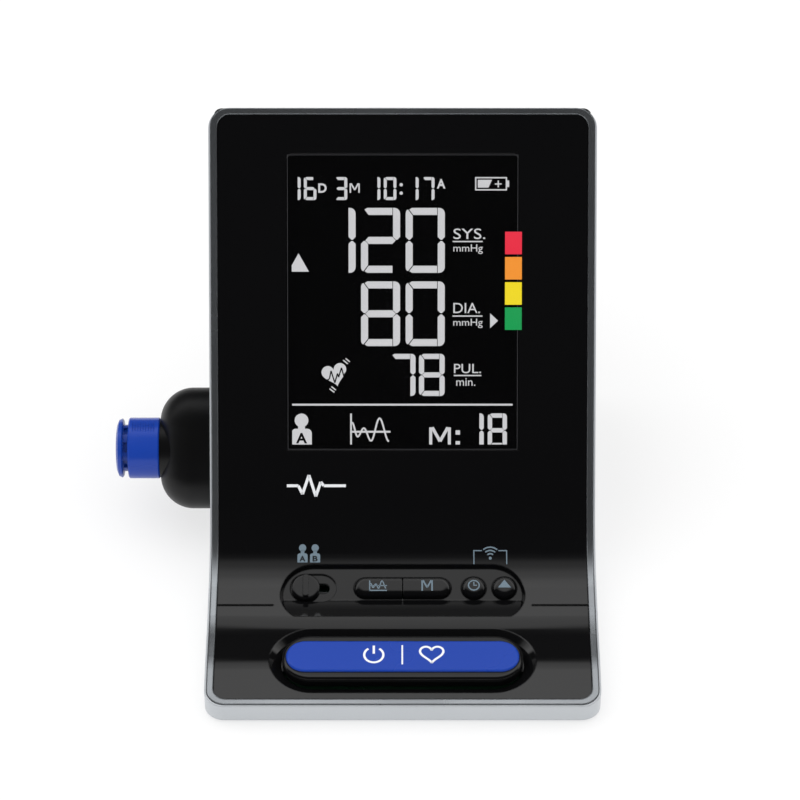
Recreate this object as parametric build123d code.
from build123d import *
import os
from math import cos, radians, sin

os.makedirs("parts", exist_ok=True)

# Desktop blood pressure monitor. Millimetres, +Z up, the front lip faces -Y.
# The origin is on the table, under the middle of the base.

# ---- driving dimensions -------------------------------------------------
WIDTH = 100.0            # trim frame, side to side
LIP_Z = 6.6              # top of the front lip above the table
TABLE_GAP = 1.2          # underside of the base above the table
BASE_DEPTH = 124.6       # front wall to rear wall at the base
PANEL_ANGLE = 52.4       # display panel, degrees from the table
PANEL_R = 28.0           # sweep from foot to panel
CREST_R = 40.0           # soft crest in front of the start key
DIP_R = 60.0             # soft dip behind the start key
FOOT_CREST = (13.0, 1.5)     # behind and above the lip
FOOT_DIP = (26.0, 1.7)
BEND_POINT = (50.05, 4.6)    # where foot and panel lines would cross
PANEL_TOP = (120.9, 96.6)

TRIM_W = 1.6             # trim frame seen from the front
TRIM_T = 1.6             # trim frame thickness
CORNER_R = 4.8
CASE_PROUD = 0.6         # silver case stands outside the trim at its sides and lip
CASE_DROP = 0.25         # silver case lies this far below the trim face
CASE_SLAB = 9.0          # depth of the silver case behind the panel face
CASE_WALL = 2.4
FIT_GAP = 0.1            # gap between neighbouring covers

FASCIA_DROP = 0.25       # fascia lies this far below the trim face
FASCIA_T = 2.3
LENS_SIZE = (60.4, 77.4)
LENS_MID = 50.7          # middle of the window, down from the panel top
LENS_T = 1.2

WELL = (69.0, 22.8)      # funnel round the start key, at the face
WELL_HOLE = (62.4, 16.2)
WELL_DEPTH = 2.2
START_Y = 14.4
START_KEY = (61.8, 14.4)
START_INLAY = (59.9, 10.0)

SEAM_Y = 32.6            # fine line across the face at the scoop ends
SCOOP = (66.6, 15.6)     # recess for the small keys
SCOOP_Y = 37.4
SCOOP_ANGLE = 16.0
SCOOP_DEPTH = 2.0
SCOOP_FLOOR_T = 1.2
SCOOP_SHIFT = -0.7       # middle of the recess from the floor's origin
RAMP_START = -2.15       # where the ramp leaves the floor
RAMP_ANGLE = 10.0        # the ramp falls away towards the keys
KEY_Y = 38.8
KEY_R = 3.25
KEY_RISE = 1.7
KEY_CROWN_R = 1.5        # rounding of the small keys' edges
PILL_HALF = 12.7
PILL_W = 6.0
CLOCK_X = 18.6
UP_X = 26.6
KNOB_R = 3.7
KNOB_X = -25.3
KNOB_TRAVEL = 3.9

PORT_DEPTH = 15.0        # air port axis behind the panel face
PORT_SLIDE = 90.5        # air port axis, down from the panel top
PORT_LENGTH = 32.2
PORT_THICK = 20.0
PORT_CORNER_R = 9.6
PORT_EDGE_R = 8.8        # the outer edge is rounded into a pillow
PORT_OUT = 64.4          # outer face of the port housing, from the middle
PORT_END = 76.1          # outer end of the coupling's collar
COUPLING_R = 8.1
PORT_SEAT_R = 7.8        # round seat that carries the coupling on the pillow
NIPPLE_R = 2.25
NIPPLE_DEPTH = 12.0

RUN = 0.05               # radial running clearance

SLOPE_FOOT = 4.0
FOOT_R = 5.0
FOOT_SPOTS = [(x, y) for x in (-41, 41) for y in (-52.5, 54.5)]
CASE_SCREWS = [(x, y) for x in (-44, 44) for y in (8, 40)]
REAR_BACK = 18.0         # depth of the top edge behind the panel face
REAR_R = 6.0             # rounding of the upright rear edges
REAR_TOP_R = 2.0         # rounding of the top rear edge
SPIGOT_R = 5.0
JACK_X = -36.0
JACK_Z = 17.0
DOOR_X = 8.0
DOOR_LOW = 6.0
DOOR_SIZE = (55.0, 58.0)
DOOR_T = 1.6
CASE_SIDE = WIDTH / 2 + CASE_PROUD + FIT_GAP
COLLAR_R = 6.3
LCD_SIZE = (64.0, 82.0)
PCB_DEPTH = 10.2
PCB_T = 1.6
PCB_SIZE = (84.0, 92.0)
PCB_SCREWS = [(x, y) for x in (-38, 38) for y in (-42, 42)]
SENSOR = (-26.0, -8.0)
SPIGOT_LENGTH = 5.0
BOARD_Z = 2.85
BOARD_T = 0.8
HEAD_R = 12.4
MOTOR_R = 11.6
MOTOR_L = 28.0
HEAD_L = 9.0
VALVE_X = -38.5
VALVE_Y = 46.5
VALVE_LOW = 36.0
NIPPLE_SHOULDER = 0.5 - PORT_END + 29.0
TUBE_R = 2.6
TUBE_BORE = 1.75
CELL_R = 7.1
CELL_L = 49.0
CELL_PITCH = 14.5
TRAY_DEPTH = 16.0

# ---- frame of the object -------------------------------------------------
FRONT = -BASE_DEPTH / 2 + CASE_PROUD     # y of the lip
UP = Vector(0, cos(radians(PANEL_ANGLE)), sin(radians(PANEL_ANGLE)))
OUT = Vector(0, -sin(radians(PANEL_ANGLE)), cos(radians(PANEL_ANGLE)))
SIDE = Vector(1, 0, 0)


def at(point, x=0.0):
    """A point given behind and above the lip, in the object's frame."""
    return Vector(x, FRONT + point[0], LIP_Z + point[1])


FACE = [at((0, 0)), at(FOOT_CREST), at(FOOT_DIP), at(BEND_POINT), at(PANEL_TOP)]
TOP = FACE[-1]


def panel(x, down, depth):
    """Plane on the display panel: local y runs up it and local z out of it."""
    origin = TOP - UP * down - OUT * depth + SIDE * x
    return Plane(origin=origin, x_dir=(1, 0, 0), z_dir=OUT)


def face_height(y):
    """Height of the unrounded face line above the table, y mm behind the lip."""
    for a, b in zip(FACE, FACE[1:]):
        if a.Y <= FRONT + y <= b.Y:
            return a.Z + (b.Z - a.Z) * (FRONT + y - a.Y) / (b.Y - a.Y)
    raise ValueError(y)


# ---- helpers ---------------------------------------------------------------
def inward(a, b):
    """Unit normal of a face line, pointing into the case."""
    run = (b - a).normalized()
    return Vector(0, run.Z, -run.Y)


def face_corners(depth, inset, top_inset=None):
    """Corners of the face line moved inwards, cut short at the lip and at the top."""
    top_inset = inset if top_inset is None else top_inset
    normals = [inward(a, b) for a, b in zip(FACE, FACE[1:])]
    corners = []
    first = FACE[0] + normals[0] * depth
    run = (FACE[1] - FACE[0]).normalized()
    corners.append(first + run * ((FRONT + inset - first.Y) / run.Y))
    for corner, n0, n1 in zip(FACE[1:], normals, normals[1:]):
        corners.append(corner + (n0 + n1) * (depth / (1 + n0.dot(n1))))
    corners.append(FACE[-1] + normals[-1] * depth - UP * top_inset)
    return corners


def face_line(depth, inset=0.0, top_inset=None):
    """The face line with its round stretches, moved inwards by depth."""
    radii = (CREST_R - depth, DIP_R + depth, PANEL_R + depth)
    return FilletPolyline(*face_corners(depth, inset, top_inset), radius=radii)


def prism(outline, width):
    """Extrude a closed outline in the side plane to both sides of the middle."""
    face = make_face(outline)
    return extrude(face, amount=width / 2, dir=(1, 0, 0), both=True)


def polygon(points, width):
    """Prism on straight lines through the points."""
    return prism(Polyline(*points, close=True).edges(), width)


def slab(d0, d1, width, inset, radius):
    """Slab that follows the face between two depths, with four round corners."""
    upper = face_line(d0, inset)
    lower = face_line(d1, inset)
    ends = [Line(upper @ 0, lower @ 0), Line(upper @ 1, lower @ 1)]
    solid = prism([*upper.edges(), *lower.edges(), *[e.edge() for e in ends]], width)
    return fillet(end_edges(solid, width, inset), radius)


def end_edges(solid, width, inset, top_inset=None):
    """The four corner edges of a body: two at the lip and two at the panel's top."""
    top_inset = inset if top_inset is None else top_inset
    return [
        e for e in solid.edges()
        if abs(abs(e.center().X) - width / 2) < 0.01
        and (abs(e.center().Y - (FRONT + inset)) < 0.01
             or abs((e.center() - TOP).dot(UP) + top_inset) < 0.01)
    ]


def stadium(plane, size, height, taper=0.0):
    """Round-ended bar standing on a plane."""
    face = plane * SlotOverall(size[0], size[1])
    return extrude(face, amount=height, dir=plane.z_dir, taper=taper)


def plate(plane, size, thickness, radius=0.0):
    """Rectangular plate standing on a plane."""
    outline = RectangleRounded(size[0], size[1], radius) if radius else Rectangle(*size)
    return extrude(plane * outline, amount=thickness, dir=plane.z_dir)


def rod(start, direction, radius, length):
    """Round bar from a point along a direction."""
    plane = Plane(origin=start, z_dir=direction)
    return extrude(plane * Circle(radius), amount=length, dir=plane.z_dir)


def tube(points, radii, outer, bore):
    """Soft tube along straight runs joined by tangent arcs."""
    path = FilletPolyline(*points, radius=radii)
    start = Plane(origin=path @ 0, z_dir=path % 0)
    wall = sweep(start * Circle(outer), path=path) - sweep(start * Circle(bore), path=path)
    return wall


def save(name, shape):
    """Write one piece, or one set of identical fasteners, to its STEP file."""
    solids = shape.solids()
    part = solids[0] if len(solids) == 1 else Compound(children=list(solids))
    part.label = name
    export_step(part, f"parts/{name}.step")


# ---- planes of the controls ------------------------------------------------
START_PLANE = Plane(
    origin=at((START_Y, 1.35)),
    x_dir=(1, 0, 0),
    z_dir=(0, -sin(radians(SLOPE_FOOT)), cos(radians(SLOPE_FOOT))),
)
SCOOP_OUT = Vector(0, -sin(radians(SCOOP_ANGLE)), cos(radians(SCOOP_ANGLE)))
SCOOP_UP = Vector(0, cos(radians(SCOOP_ANGLE)), sin(radians(SCOOP_ANGLE)))
SCOOP_PLANE = Plane(
    origin=at((SCOOP_Y, 3.1)) - SCOOP_OUT * SCOOP_DEPTH,
    x_dir=(1, 0, 0),
    z_dir=SCOOP_OUT,
)


def key_plane(x, height=0.0):
    """Plane on the scoop floor, or above it, at a key of the row."""
    origin = SCOOP_PLANE.origin + SCOOP_UP * (KEY_Y - SCOOP_Y) + SCOOP_OUT * height + SIDE * x
    return Plane(origin=origin, x_dir=(1, 0, 0), z_dir=SCOOP_OUT)


# ---- covers ------------------------------------------------------------------
def bezel_frame():
    """Satin metal-look trim round the whole face."""
    ring = slab(0, TRIM_T, WIDTH, 0, CORNER_R)
    hole = slab(-1, TRIM_T + 1, WIDTH - 2 * TRIM_W, TRIM_W, CORNER_R - TRIM_W + 0.3)
    return ring - hole


def front_fascia():
    """Gloss black face with its window, start well, key scoop and screw bosses."""
    gap = TRIM_W + FIT_GAP
    width = WIDTH - 2 * gap
    body = slab(FASCIA_DROP, FASCIA_DROP + FASCIA_T, width, gap, CORNER_R - TRIM_W)
    window = plate(panel(0, LENS_MID, 8), (LENS_SIZE[0] - 2.4, LENS_SIZE[1] - 2.4), 12)
    seat = lens_outline(0.1, FASCIA_DROP + LENS_T + 0.1, 4)
    boss = stadium(START_PLANE.offset(-WELL_DEPTH - 0.6), (WELL[0] + 2, WELL[1] + 1.5), 1.6)
    tub = stadium(SCOOP_PLANE.offset(-SCOOP_FLOOR_T), (SCOOP[0] + 3, SCOOP[1] + 3), 3.4)
    body += (boss + tub) & slab(FASCIA_DROP, 9, width, gap, CORNER_R - TRIM_W)
    funnel = stadium(START_PLANE.offset(-WELL_DEPTH), WELL_HOLE, 6, taper=-56)
    well = stadium(START_PLANE.offset(-8), WELL_HOLE, 16)
    body = body - window - seat - funnel - well - key_scoop()
    for x, half, wide in key_holes():
        body -= stadium(key_plane(x, -6), (2 * half + 2 * RUN, wide + 2 * RUN), 12)
    track_x = KNOB_X + KNOB_TRAVEL / 2
    track = (2 * KNOB_R + KNOB_TRAVEL + 0.8, 2 * KNOB_R + 0.8)
    body -= stadium(key_plane(track_x, -0.3), track, 4)
    body -= stadium(key_plane(track_x, -6), (track[0] - 3.6, 2.8), 12)
    for side in (-1, 1):
        seam = Plane(origin=at((SEAM_Y, 0)) + SIDE * side * (SCOOP[0] / 2 + 8.5))
        body -= plate(seam.offset(face_height(SEAM_Y) - LIP_Z - 0.6), (16.4, 0.3), 3)
    return body


def key_scoop():
    """Space of the recess: a floor under the keys, and a ramp from their feet up to the lip."""
    middle = Plane(
        origin=SCOOP_PLANE.origin + SCOOP_UP * SCOOP_SHIFT, x_dir=(1, 0, 0), z_dir=SCOOP_OUT
    )
    space = stadium(middle, (SCOOP[0] - 4.2, SCOOP[1] + 0.2), 8, taper=-22)
    tilt = radians(RAMP_ANGLE)
    along = Vector(0, -cos(tilt), sin(tilt))
    out = Vector(0, sin(tilt), cos(tilt))
    foot = SCOOP_PLANE.origin + SCOOP_UP * RAMP_START
    block = Plane(origin=foot + along * 10 - out * 8, x_dir=(1, 0, 0), z_dir=out)
    return space - plate(block, (SCOOP[0] + 10, 20), 8)


def lens_outline(grow, depth, height):
    """Window pane with its two cut upper corners, standing on a plane below the face."""
    half_w = LENS_SIZE[0] / 2 + grow
    half_h = LENS_SIZE[1] / 2 + grow
    cut = 1.2
    points = [
        (-half_w, -half_h), (half_w, -half_h), (half_w, half_h - cut),
        (half_w - cut, half_h), (-half_w + cut, half_h), (-half_w, half_h - cut),
    ]
    plane = panel(0, LENS_MID, depth)
    face = plane * make_face(Polyline(*points, close=True).edges())
    return extrude(face, amount=height, dir=plane.z_dir)


def display_lens():
    """Clear pane over the readout."""
    return lens_outline(0, FASCIA_DROP + LENS_T, LENS_T)


def case_line():
    """Outline of the silver case in the side plane."""
    upper = face_line(CASE_DROP, -CASE_PROUD, 0.0)
    back = TOP - OUT * CASE_SLAB
    meet = back - UP * ((back.Z - LIP_Z) / UP.Z)
    rear = BASE_DEPTH / 2
    points = [upper @ 1, back, meet, Vector(0, rear, LIP_Z), Vector(0, rear, TABLE_GAP),
              Vector(0, FRONT - CASE_PROUD, TABLE_GAP), upper @ 0]
    return [*upper.edges(), *Polyline(*points).edges()]


def case_cavity():
    """Everything inside the silver case, open to the face and to the rear."""
    inner = face_corners(-4, CASE_WALL)
    floor = TABLE_GAP + 1.6
    rear = BASE_DEPTH / 2 - CASE_WALL
    high = TOP - UP * CASE_WALL - OUT * 40
    points = [
        *inner, high, Vector(0, rear, high.Z - 20), Vector(0, rear, floor),
        Vector(0, FRONT + 2.0, floor),
    ]
    return polygon(points, WIDTH + 2 * CASE_PROUD - 2 * CASE_WALL)


def silver_case():
    """Silver base and side case in one moulding, with its screw posts and foot pockets."""
    width = WIDTH + 2 * CASE_PROUD
    body = prism(case_line(), width)
    rear_edges = [
        e for e in body.edges()
        if abs(abs(e.center().X) - width / 2) < 0.01 and abs(e.center().Y - BASE_DEPTH / 2) < 0.01
    ]
    body = fillet(
        end_edges(body, width, -CASE_PROUD, 0.0) + rear_edges, CORNER_R + 0.4
    )
    body -= slab(-3, TRIM_T + FIT_GAP, WIDTH + 2 * FIT_GAP, -FIT_GAP, CORNER_R)
    body -= slab(0, 4, WIDTH - 2 * TRIM_W, TRIM_W, CORNER_R - TRIM_W)
    body -= case_cavity()
    for x, y in FOOT_SPOTS:
        body -= rod((x, y, TABLE_GAP - 1), (0, 0, 1), FOOT_R + 0.05, 1.5)
    for x, y in CASE_SCREWS:
        post = rod((x, y, TABLE_GAP + 1.5), (0, 0, 1), 3.0, 6.0)
        body += post
        body -= rod((x, y, 0), (0, 0, 1), 1.3, 20)
        body -= rod((x, y, 0), (0, 0, 1), 2.7, TABLE_GAP + 2.2)
    return body


def rubber_feet():
    """Four round rubber feet in shallow pockets."""
    feet = [rod((x, y, 0), (0, 0, 1), FOOT_R, TABLE_GAP + 0.45) for x, y in FOOT_SPOTS]
    return Compound(children=[fillet(f.edges().group_by(Axis.Z)[0], 0.5) for f in feet])


def case_screws():
    """Four self-tapping screws that come up through the base."""
    screws = []
    for x, y in CASE_SCREWS:
        head = rod((x, y, TABLE_GAP + 0.9), (0, 0, 1), 2.5, 1.3)
        shank = rod((x, y, TABLE_GAP + 2.2), (0, 0, 1), 1.25, 8.4)
        slot = Plane(origin=(x, y, TABLE_GAP + 0.9))
        screws.append(head + shank - plate(slot, (3.0, 0.7), 0.6) - plate(slot, (0.7, 3.0), 0.6))
    return Compound(children=screws)


def rear_line(offset):
    """Corners of the rear cover in the side plane, moved inwards by offset."""
    seam = CASE_SLAB + FIT_GAP
    top_front = TOP - UP * (0.2 + offset) - OUT * seam
    top_rear = TOP - UP * (0.2 + offset) - OUT * (REAR_BACK - offset)
    bottom_rear = Vector(0, BASE_DEPTH / 2 - 0.6 - offset, LIP_Z + FIT_GAP)
    bottom_front = top_front - UP * ((top_front.Z - bottom_rear.Z) / UP.Z)
    return top_front, top_rear, bottom_rear, bottom_front


def rear_cover():
    """Satin black rear cover: a hollow wedge, open to the panel and the base."""
    wall = 2.2
    width = WIDTH - 0.8
    body = polygon(rear_line(0), width)
    top_front, top_rear, bottom_rear, bottom_front = rear_line(0)
    middle_z = (top_rear.Z + bottom_rear.Z) / 2
    sides = [e for e in body.edges() if abs(e.center().Z - middle_z) < 0.1 and e.center().Y > 50]
    body = fillet(sides, REAR_R)
    top = body.faces().sort_by(Axis(TOP, UP))[-1]
    body = fillet(top.edges().sort_by(Axis.Y)[-1], REAR_TOP_R)
    top_front, top_rear, bottom_rear, bottom_front = rear_line(wall)
    hollow = polygon(
        [top_front + OUT * 5, top_rear, bottom_rear - Vector(0, 0, 5),
         bottom_front - Vector(0, 12, 5)],
        width - 2 * wall,
    )
    body -= hollow
    port = port_plane(0)
    body -= rod((-WIDTH, port.origin.Y, port.origin.Z), (1, 0, 0), SPIGOT_R + 0.1, WIDTH / 2 + 8)
    body -= rod((JACK_X, BASE_DEPTH / 2 - 12, JACK_Z), (0, 1, 0), 4.6, 30)
    door = rear_plane(DOOR_X, DOOR_LOW + DOOR_SIZE[1] / 2)
    body -= plate(door.offset(-3), (DOOR_SIZE[0] + 0.4, DOOR_SIZE[1] + 0.4), 6, 1.5)
    for x, y in CASE_SCREWS:
        body += rod((x, y, TABLE_GAP + 7.6), (0, 0, 1), 3.6, 7)
        body -= rod((x, y, TABLE_GAP + 7.0), (0, 0, 1), 1.28, 6)
    return body


def rear_plane(x, up, inner=0.0):
    """Plane on the rear wall's outside: local x runs across, local y up, local z out."""
    top_rear, bottom_rear = rear_line(0)[1:3]
    rise = (top_rear - bottom_rear).normalized()
    out = Vector(0, rise.Z, -rise.Y)
    origin = bottom_rear + rise * up - out * inner + SIDE * x
    return Plane(origin=origin, x_dir=(-1, 0, 0), z_dir=out)


def port_plane(x):
    """Plane across the air port axis; local y runs up along the panel's slope."""
    origin = TOP - UP * PORT_SLIDE - OUT * PORT_DEPTH + SIDE * x
    return Plane(origin=origin, x_dir=UP, z_dir=(-1, 0, 0))


# ---- air port and coupling -----------------------------------------------


def port_housing():
    """Pillow-shaped housing that holds the air port clear of the left side."""
    face = port_plane(-CASE_SIDE) * RectangleRounded(PORT_LENGTH, PORT_THICK, PORT_CORNER_R)
    body = extrude(face, amount=PORT_OUT - CASE_SIDE, dir=(-1, 0, 0))
    outer = body.faces().sort_by(Axis.X)[0]
    body = fillet(outer.edges(), PORT_EDGE_R)
    origin = port_plane(0).origin
    body += rod((-CASE_SIDE, origin.Y, origin.Z), (1, 0, 0), SPIGOT_R, 6.5)
    body += rod((-PORT_OUT, origin.Y, origin.Z), (1, 0, 0), PORT_SEAT_R, 5.0)
    body -= rod((-WIDTH, origin.Y, origin.Z), (1, 0, 0), 3.4, WIDTH)
    return body


def turned(outline):
    """Ring turned about the air port axis, from (distance out, radius) corners."""
    origin = port_plane(-PORT_OUT - 0.1).origin
    points = [Vector(origin.X - a, origin.Y + r, origin.Z) for a, r in outline]
    face = make_face(Polyline(*points, close=True).edges())
    return revolve(face, axis=Axis((0, origin.Y, origin.Z), (1, 0, 0)))


def coupling_body():
    """Blue hose coupling with fine grip ribs."""
    body = turned([
        (0.0, 3.6), (0.0, COUPLING_R - 0.3), (0.3, COUPLING_R), (8.0, COUPLING_R),
        (8.3, COUPLING_R - 0.3), (8.3, COLLAR_R + RUN), (4.2, COLLAR_R + RUN), (4.2, 3.6),
    ])
    origin = port_plane(-PORT_OUT - 0.1).origin
    for sign in (-1, 1):
        for k in range(9):
            z = origin.Z + sign * (COUPLING_R + 0.1)
            rib = Plane(origin=(origin.X - 1.4 - 0.7 * k, origin.Y, z))
            body -= extrude(rib * Rectangle(0.3, 7.0), amount=0.35, both=True)
    return body


def release_collar():
    """Push collar of the coupling: a windowed sleeve and a rounded flange."""
    body = turned([
        (5.3, 3.4), (5.3, COLLAR_R), (9.7, COLLAR_R), (9.7, 7.4), (10.0, 7.9),
        (10.9, 7.5), (11.4, 6.3), (11.6, 4.9), (11.6, 3.4),
    ])
    origin = port_plane(-PORT_OUT - 0.1).origin
    for k in range(8):
        angle = radians(45 * k)
        radial = Vector(0, sin(angle), cos(angle))
        window = Plane(origin=Vector(origin.X - 9.0, origin.Y, origin.Z) + radial * 5.4,
                       x_dir=(1, 0, 0), z_dir=radial)
        body -= plate(window, (1.0, 2.6), 3)
    return body


def nipple():
    """Air spigot inside the coupling: its bore takes the plug of the cuff hose."""
    origin = port_plane(0).origin
    start = (0.5 - PORT_END, origin.Y, origin.Z)
    body = rod(start, (1, 0, 0), 3.3, 29.0) + rod(start, (1, 0, 0), 1.9, 34.0)
    body -= rod(start, (1, 0, 0), NIPPLE_R, NIPPLE_DEPTH)
    return body - rod(start, (1, 0, 0), 1.2, 34.0)


def coupling_seal():
    """Soft ring between the coupling and the port housing spigot."""
    origin = port_plane(0).origin
    start = (0.05 - PORT_END, origin.Y, origin.Z)
    return rod(start, (1, 0, 0), 3.3, 0.4) - rod(start, (1, 0, 0), NIPPLE_R + 0.25, 0.4)


# ---- keys ------------------------------------------------------------------
def key_holes():
    """Middle, half length and width of each key hole in the scoop floor."""
    return [
        (0, PILL_HALF, PILL_W), (CLOCK_X, KEY_R + 0.01, 2 * KEY_R), (UP_X, KEY_R + 0.01, 2 * KEY_R),
    ]


def round_key(x):
    """Round domed key with a retaining flange under the scoop floor."""
    base = -SCOOP_FLOOR_T - 0.05
    cap = extrude(key_plane(x, base - 0.2) * Circle(KEY_R), amount=KEY_RISE - base + 0.2,
                  dir=SCOOP_OUT)
    crown = cap.faces().sort_by(Axis(key_plane(x).origin, SCOOP_OUT))[-1]
    cap = fillet(crown.edges(), KEY_CROWN_R)
    flange = extrude(key_plane(x, base - 0.8) * Circle(KEY_R + 0.5), amount=0.8,
                     dir=SCOOP_OUT)
    return cap + flange


def pill_key(side):
    """Half of the two-part pill: round at its outer end, square at the split."""
    base = -SCOOP_FLOOR_T - 0.05
    whole = stadium(key_plane(0, base - 0.2), (2 * PILL_HALF, PILL_W), KEY_RISE - base + 0.2)
    top = whole.faces().sort_by(Axis(key_plane(0).origin, SCOOP_OUT))[-1]
    whole = fillet(top.edges(), KEY_CROWN_R)
    flange = stadium(key_plane(0, base - 0.8), (2 * PILL_HALF + 1.0, PILL_W + 1.0), 0.8)
    keep = Plane(origin=key_plane(side * (10 + 0.12)).origin, x_dir=(1, 0, 0),
                 z_dir=SCOOP_OUT)
    return (whole + flange) & extrude(keep * Rectangle(20, 20), amount=10,
                                      dir=keep.z_dir, both=True)


def start_button():
    """Long black key carrier under the blue inlay, with its retaining lip."""
    cap = stadium(START_PLANE.offset(-2.2), START_KEY, 3.1)
    top = cap.faces().sort_by(Axis(START_PLANE.origin, START_PLANE.z_dir))[-1]
    cap = fillet(top.edges(), 0.8)
    hooks = []
    for side in (-1, 1):
        leg = Plane(origin=START_PLANE.origin + SIDE * side * 29.6, x_dir=(1, 0, 0),
                    z_dir=START_PLANE.z_dir)
        toe = Plane(origin=START_PLANE.origin + SIDE * side * 31.2, x_dir=(1, 0, 0),
                    z_dir=START_PLANE.z_dir)
        hooks.append(plate(leg.offset(-3.25), (1.4, 4.0), 1.2))
        hooks.append(plate(toe.offset(-3.25), (2.4, 4.0), 0.4))
    pocket = stadium(START_PLANE.offset(0.3), START_INLAY, 3)
    return cap + hooks - pocket


def start_inlay():
    """Blue domed inlay pressed into the start key."""
    size = (START_INLAY[0] - 0.04, START_INLAY[1] - 0.04)
    inlay = stadium(START_PLANE.offset(0.32), size, 1.1)
    top = inlay.faces().sort_by(Axis(START_PLANE.origin, START_PLANE.z_dir))[-1]
    return fillet(top.edges(), 0.6)


def user_switch_knob():
    """Round slider knob with a finger rib; it is parked at the left."""
    knob = extrude(key_plane(KNOB_X, 0.15) * Circle(KNOB_R), amount=1.0,
                   dir=SCOOP_OUT)
    knob = fillet(knob.faces().sort_by(Axis(key_plane(0).origin, SCOOP_OUT))[-1].edges(), 0.5)
    rib = plate(key_plane(KNOB_X, 0.6), (1.5, 6.4), 1.3, 0.6)
    neck = plate(key_plane(KNOB_X, -1.9), (3.0, 2.4), 2.1)
    return knob + rib + neck


# ---- display stack ------------------------------------------------------------


def lcd_glass():
    """Liquid crystal cell behind the window."""
    return plate(panel(0, LENS_MID, 4.6), LCD_SIZE, 1.8)


def lcd_backlight():
    """Light guide plate behind the cell."""
    return plate(panel(0, LENS_MID, 7.0), (LCD_SIZE[0], LCD_SIZE[1]), 2.3)


def lcd_holder():
    """Frame clipped round the cell and the light guide."""
    outer = (LCD_SIZE[0] + 4, LCD_SIZE[1] + 4)
    ring = plate(panel(0, LENS_MID, 8.2), outer, 5.2, 2.0)
    return ring - plate(panel(0, LENS_MID, 7.1), (LCD_SIZE[0] + 0.2, LCD_SIZE[1] + 0.2), 6)


def pcb_plane(x=0.0, up=0.0, depth=PCB_DEPTH):
    """Plane on the front of the main board, measured from its middle."""
    return panel(x, LENS_MID - up, depth)


def main_board():
    """Main circuit board behind the display, with its four screw holes."""
    board = plate(pcb_plane(depth=PCB_DEPTH), PCB_SIZE, PCB_T, 1.5)
    for x, up in PCB_SCREWS:
        board -= extrude(pcb_plane(x, up, PCB_DEPTH + 1) * Circle(1.3), amount=5, dir=OUT)
    return board


def board_screws():
    """Four screws through the main board into the fascia posts."""
    screws = []
    for x, up in PCB_SCREWS:
        head = extrude(pcb_plane(x, up, PCB_DEPTH + 1.5) * Circle(2.4), amount=1.4, dir=OUT)
        shank = extrude(pcb_plane(x, up, PCB_DEPTH + 0.2) * Circle(1.2), amount=6.0, dir=OUT)
        recess = plate(pcb_plane(x, up, PCB_DEPTH + 1.6), (3.0, 0.7), 0.8)
        screws.append(head + shank - recess)
    return Compound(children=screws)


def board_posts():
    """Four posts between the fascia and the main board."""
    posts = []
    for x, up in PCB_SCREWS:
        start = PCB_DEPTH - PCB_T - 0.05
        post = extrude(pcb_plane(x, up, start) * Circle(3.0), amount=start - FASCIA_DROP - FASCIA_T - 0.1,
                       dir=OUT)
        posts.append(post - extrude(pcb_plane(x, up, start + 1) * Circle(1.22), amount=6.4,
                                    dir=OUT))
    return Compound(children=posts)


def chip(x, up, size, height):
    """Flat package soldered to the rear of the main board."""
    return plate(pcb_plane(x, up, PCB_DEPTH + 0.05 + height), size, height, 0.3)


def sensor_port(along):
    """Point on the sensor's side spigot, measured from the side of its cap."""
    return pcb_plane(SENSOR[0], SENSOR[1] - 5.5 - along, PCB_DEPTH + 3.0).origin


def pressure_sensor():
    """Pressure sensor on the board, with the air spigot in its lower side."""
    body = chip(SENSOR[0], SENSOR[1], (11, 11), 5.0)
    return body + rod(sensor_port(-0.5), -UP, 1.5, SPIGOT_LENGTH + 0.5)


def foot_board():
    """Small flat board under the keys."""
    origin = at((25.5, 0))
    plane = Plane(origin=(0, origin.Y, BOARD_Z))
    return plate(plane, (76, 39), BOARD_T, 1.0)


def tact_switches():
    """Press switches under the start key and the small keys."""
    foot = BOARD_Z + BOARD_T + 0.02
    places = [(x, FRONT + START_Y + 0.1, 0.9) for x in (-18.0, 18.0)]
    places += [(x, FRONT + KEY_Y + 0.8, 0.7) for x in (-6.6, 6.6, CLOCK_X, UP_X)]
    switches = []
    for x, y, height in places:
        base = plate(Plane(origin=(x, y, foot)), (4.4, 4.4), height * 0.6, 0.3)
        switches.append(base + rod((x, y, foot), (0, 0, 1), 1.2, height))
    return Compound(children=switches)


def slide_switch():
    """Two-way slide switch under the user knob."""
    x = KNOB_X + KNOB_TRAVEL / 2
    foot = Plane(origin=(x, FRONT + KEY_Y, BOARD_Z + BOARD_T + 0.02))
    return plate(foot, (10, 4.4), 1.4) - plate(foot.offset(0.6), (6.4, 2.8), 1.2)


# ---- pump, valve and air lines -------------------------------------------------
AIR = Vector(0, *tuple(port_plane(0).origin)[1:])
PUMP = Vector(-8.0, 29.2, AIR.Z)


def pump_motor():
    """Motor can of the air pump, lying across the case."""
    can = rod(PUMP, SIDE, MOTOR_R, MOTOR_L)
    can = fillet(can.edges().sort_by(Axis.X)[-1], 1.5)
    return can + rod(PUMP + SIDE * MOTOR_L, SIDE, 3.2, 1.8)


def pump_terminals():
    """Two solder tags on the end of the motor."""
    tags = []
    for sign in (-1, 1):
        origin = PUMP + SIDE * (MOTOR_L + 0.05) + Vector(0, sign * 7, 0)
        tags.append(plate(Plane(origin=origin, z_dir=SIDE), (0.5, 2.6), 4.0))
    return Compound(children=tags)


def pump_head():
    """Diaphragm head with its outlet spigot."""
    face = PUMP - SIDE * 0.05
    body = rod(face, -SIDE, HEAD_R, HEAD_L)
    body = fillet(body.edges().sort_by(Axis.X)[0], 1.0)
    body += rod(face - SIDE * HEAD_L, -SIDE, 1.7, SPIGOT_LENGTH)
    return body - rod(face - SIDE * (HEAD_L + SPIGOT_LENGTH), SIDE, 0.9, HEAD_L)


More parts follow.
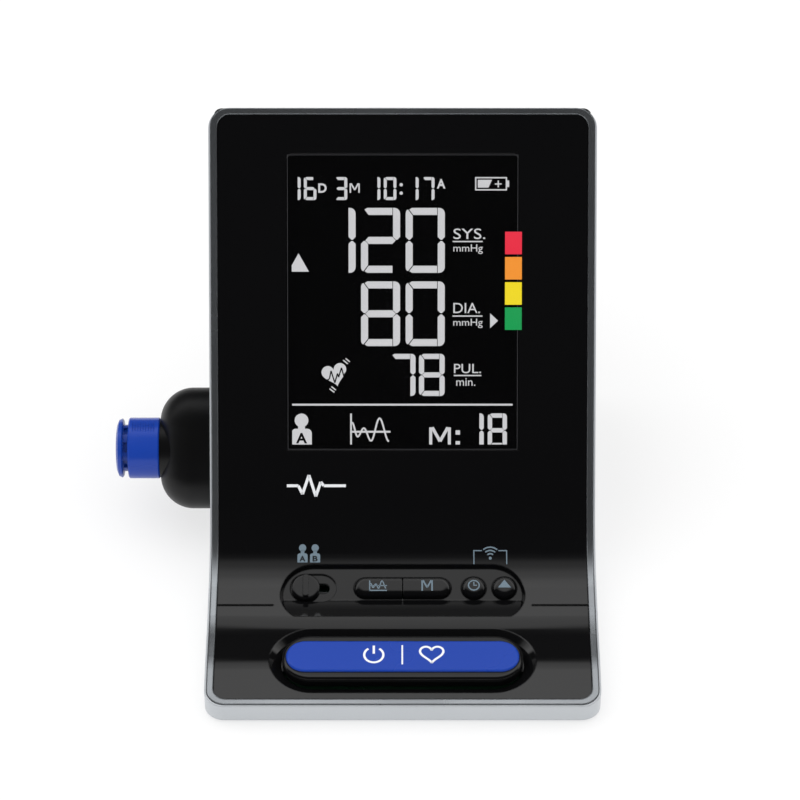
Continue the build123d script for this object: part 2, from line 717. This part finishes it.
def pump_cushion():
    """Foam sleeve that keeps the motor from buzzing on its cradle."""
    start = PUMP + SIDE * 4
    return rod(start, SIDE, MOTOR_R + 1.2, 20.0) - rod(start, SIDE, MOTOR_R + 0.05, 20.0)


def pump_cradle():
    """Saddle that carries the cushioned motor on the base."""
    floor = TABLE_GAP + 1.65
    plane = Plane(origin=(PUMP.X + 14, PUMP.Y, floor))
    block = plate(plane, (16, 24), PUMP.Z - 6 - floor, 1.0)
    block -= rod(PUMP - SIDE * 5, SIDE, MOTOR_R + 1.3, 40)
    web = Plane(origin=(PUMP.X + 14, PUMP.Y, floor - 1))
    return block - plate(web, (12, 17), 5)


def air_manifold():
    """Four-way air block with its spigots."""
    block = plate(Plane(origin=(MANIFOLD.X, MANIFOLD.Y, MANIFOLD.Z - 5)), (11, 8), 8, 1.0)
    for start, way, bare, length in MANIFOLD_PORTS.values():
        block += rod(start - way, way, 1.6, length + bare + 1)
    for start, way, bare, length in MANIFOLD_PORTS.values():
        block -= rod(start - way * 3.5, way, 0.9, length + bare + 4)
    return block


def valve_frame():
    """Steel yoke round the release valve's coil."""
    middle = Plane(origin=(VALVE_X, VALVE_Y, VALVE_LOW))
    return plate(middle, (15, 14), 18.0) - plate(middle.offset(1.6), (12.6, 20), 14.8)


def valve_coil():
    """Wound coil of the release valve."""
    start = (VALVE_X, VALVE_Y, VALVE_LOW + 1.65)
    return rod(start, (0, 0, 1), 6.0, 14.7) - rod(start, (0, 0, 1), 2.2, 14.7)


def valve_plunger():
    """Iron plunger in the coil, closed on its seat."""
    return rod((VALVE_X, VALVE_Y, VALVE_LOW + 1.65), (0, 0, 1), 2.15, 11.0)


def valve_body():
    """Air side of the valve, with its spigot."""
    top = Vector(VALVE_X, VALVE_Y, VALVE_LOW - 0.05)
    down = Vector(0, 0, -1)
    body = rod(top, down, 5.5, 5.0) + rod(top + down * 5, down, 1.6, SPIGOT_LENGTH)
    return body - rod(top + down * 2, down, 0.8, 20)


MANIFOLD = Vector(-30.5, AIR.Y + 2.6, AIR.Z)
# where each spigot leaves the block, its direction, and its lengths outside and inside the tube
MANIFOLD_PORTS = {
    "air_port": (Vector(MANIFOLD.X - 5.5, AIR.Y, AIR.Z), -SIDE, 0.2, 4.8),
    "pump": (Vector(MANIFOLD.X + 2.0, MANIFOLD.Y + 4.0, AIR.Z), Vector(0, 1, 0), 0.3, 2.0),
    "valve": (Vector(MANIFOLD.X - 1.5, MANIFOLD.Y, MANIFOLD.Z - 5.0), Vector(0, 0, -1), 0.3, 4.0),
    "sensor": (Vector(MANIFOLD.X + 2.5, AIR.Y + 2.2, MANIFOLD.Z + 3.0), UP, 2.4, 4.0),
}


def port_tube():
    """Short straight tube from the port nipple to the manifold."""
    face, way, bare, _ = MANIFOLD_PORTS["air_port"]
    start = face + way * bare
    length = start.X - NIPPLE_SHOULDER - 0.2
    return rod(start, way, 2.9, length) - rod(start, way, 2.0, length)


def pump_tube():
    """Soft tube from the manifold round to the pump head."""
    start, way, bare, _ = MANIFOLD_PORTS["pump"]
    end = PUMP - SIDE * (HEAD_L + 0.3)
    points = [start + way * bare, Vector(start.X, PUMP.Y, PUMP.Z), end]
    return tube(points, [4.2], TUBE_R, TUBE_BORE)


def valve_tube():
    """Soft tube from the manifold down, back and up to the release valve."""
    start, way, bare, _ = MANIFOLD_PORTS["valve"]
    low = TABLE_GAP + 1.6 + TUBE_R + 0.6
    end = Vector(VALVE_X, VALVE_Y, VALVE_LOW - 5.35)
    points = [start + way * bare, Vector(start.X, start.Y, low),
              Vector(VALVE_X, VALVE_Y, low), end]
    return tube(points, [5.0, 9.0], TUBE_R, TUBE_BORE)


def sensor_tube():
    """Soft tube from the manifold up to the pressure sensor."""
    start, way, bare, _ = MANIFOLD_PORTS["sensor"]
    points = [start + way * bare, start + way * 8.5, sensor_port(8.0), sensor_port(0.3)]
    return tube(points, [7.0, 7.0], TUBE_R, TUBE_BORE)


# ---- batteries -------------------------------------------------------------------
CELL_UPS = [DOOR_LOW + DOOR_SIZE[1] / 2 + CELL_PITCH * (k - 1.5) for k in range(4)]


def cell_point(k, along):
    """Point on the axis of cell k, measured along it from the middle."""
    return rear_plane(DOOR_X, CELL_UPS[k], DOOR_T + 0.5 + CELL_R).origin + SIDE * along


def battery_cells():
    """Four AA cells in a stack behind the door, lying across the case."""
    cells = []
    for k in range(4):
        sign = 1 if k % 2 else -1
        cell = rod(cell_point(k, -sign * CELL_L / 2), SIDE * sign, CELL_R, CELL_L)
        cell = fillet(cell.edges().filter_by(GeomType.CIRCLE), 0.6)
        cells.append(cell + rod(cell_point(k, sign * CELL_L / 2), SIDE * sign, 2.7, 1.2))
    return Compound(children=cells)


def battery_tray():
    """Open box in front of the cells, fixed to the inside of the rear wall."""
    middle = DOOR_LOW + DOOR_SIZE[1] / 2
    back = 2.8
    outer = plate(rear_plane(DOOR_X, middle, back + TRAY_DEPTH), (60.0, 62.0), TRAY_DEPTH, 2.0)
    floor = back + TRAY_DEPTH - 1.5
    inner = plate(rear_plane(DOOR_X, middle, floor), (56.8, 59.0), TRAY_DEPTH, 1.0)
    return outer - inner


def battery_springs():
    """Coiled contacts at the negative ends."""
    springs = []
    for k in range(4):
        sign = 1 if k % 2 else -1
        start = cell_point(k, -sign * (CELL_L / 2 + 0.05))
        springs.append(rod(start, -SIDE * sign, 3.2, 2.6) - rod(start, -SIDE * sign, 2.5, 2.6))
    return Compound(children=springs)


def battery_contacts():
    """Flat contact plates against both end walls."""
    plates = []
    for sign in (-1, 1):
        for k in (0, 2):
            start = (cell_point(k, sign * 27.4) + cell_point(k + 1, sign * 27.4)) * 0.5
            plane = Plane(origin=start, x_dir=rear_plane(0, 0).y_dir, z_dir=SIDE * sign)
            plates.append(plate(plane, (26, 9), 0.5))
    return Compound(children=plates)


def battery_door():
    """Door flush with the rear wall: it swings on its lower edge."""
    middle = DOOR_LOW + DOOR_SIZE[1] / 2
    door = plate(rear_plane(DOOR_X, middle, DOOR_T), DOOR_SIZE, DOOR_T, 1.2)
    for k in range(5):
        grip = rear_plane(DOOR_X, DOOR_LOW + DOOR_SIZE[1] - 5 - 1.6 * k, 0.4)
        door -= plate(grip, (20, 0.7), 2)
    return door


def dc_jack():
    """Mains adapter socket in the rear wall, with its centre pin."""
    mouth = Vector(JACK_X, BASE_DEPTH / 2 - 0.4, JACK_Z)
    inwards = Vector(0, -1, 0)
    body = rod(mouth, inwards, 4.5, 11.0) - rod(mouth, inwards, 2.9, 9.0)
    return body + rod(mouth + inwards * 9.5, -inwards, 1.0, 8.6)


# ---- write every piece ---------------------------------------------------------
PIECES = {
    "bezel_frame": bezel_frame, "front_fascia": front_fascia, "display_lens": display_lens,
    "silver_case": silver_case, "rear_cover": rear_cover, "rubber_feet": rubber_feet,
    "case_screws": case_screws, "port_housing": port_housing, "coupling_body": coupling_body,
    "release_collar": release_collar,
    "nipple": nipple, "coupling_seal": coupling_seal, "start_button": start_button,
    "start_inlay": start_inlay, "clock_button": lambda: round_key(CLOCK_X),
    "up_button": lambda: round_key(UP_X), "average_button": lambda: pill_key(-1),
    "memory_button": lambda: pill_key(1), "user_switch_knob": user_switch_knob,
    "lcd_glass": lcd_glass, "lcd_backlight": lcd_backlight, "lcd_holder": lcd_holder,
    "main_board": main_board, "board_screws": board_screws, "board_posts": board_posts,
    "controller_chip": lambda: chip(6, 8, (14, 14), 1.2),
    "memory_chip": lambda: chip(-14, 14, (8, 6), 1.2),
    "radio_module": lambda: chip(-33, 26, (12, 18), 1.8),
    "pressure_sensor": pressure_sensor, "foot_board": foot_board,
    "tact_switches": tact_switches, "slide_switch": slide_switch, "air_manifold": air_manifold,
    "port_tube": port_tube, "pump_tube": pump_tube, "valve_tube": valve_tube,
    "sensor_tube": sensor_tube, "pump_motor": pump_motor,
    "pump_terminals": pump_terminals, "pump_head": pump_head, "pump_cushion": pump_cushion,
    "pump_cradle": pump_cradle, "valve_frame": valve_frame, "valve_coil": valve_coil,
    "valve_plunger": valve_plunger, "valve_body": valve_body,
    "battery_cells": battery_cells, "battery_tray": battery_tray,
    "battery_springs": battery_springs, "battery_contacts": battery_contacts,
    "battery_door": battery_door, "dc_jack": dc_jack,
}

for name, make in PIECES.items():
    save(name, make())
